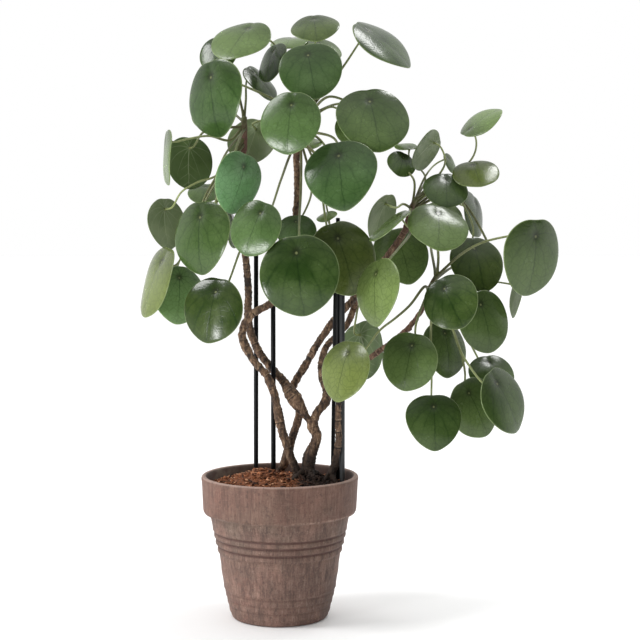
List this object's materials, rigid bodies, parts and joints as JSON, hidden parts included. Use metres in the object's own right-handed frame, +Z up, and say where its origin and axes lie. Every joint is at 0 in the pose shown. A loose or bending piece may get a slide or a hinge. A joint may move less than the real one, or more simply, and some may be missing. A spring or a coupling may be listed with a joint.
{
  "type": "potted money plant",
  "caption": "Tall trained money plant with round stalked leaves on twisting woody stems, held by thin black rods in a ribbed tapered pot of coir mix",
  "frame": {"origin": "the middle of the pot's flat foot, on the floor, on the pot's axis", "axes": "+Z up along the pot's axis, +X to the right and -Y toward the viewer of the picture"},
  "size_m": [0.4965, 0.2943, 0.7215],
  "materials": {
    "pot": "matte",
    "potting_mix": "matte",
    "rod": "satin",
    "bark": "matte",
    "leaf": "satin"
  },
  "bodies": {
    "root": {"pot": "pot", "potting_mix": "potting_mix", "rod_far_left": "rod", "rod_left": "rod", "rod_back_right": "rod", "rod_mid_right": "rod", "rod_front_right": "rod", "trunk": "bark", "stem_back": "bark", "stem_right": "bark", "crown_left": "leaf", "crown_top": "leaf", "crown_upper_right": "leaf", "crown_middle": "leaf", "crown_right": "leaf"}
  },
  "joints": []
}
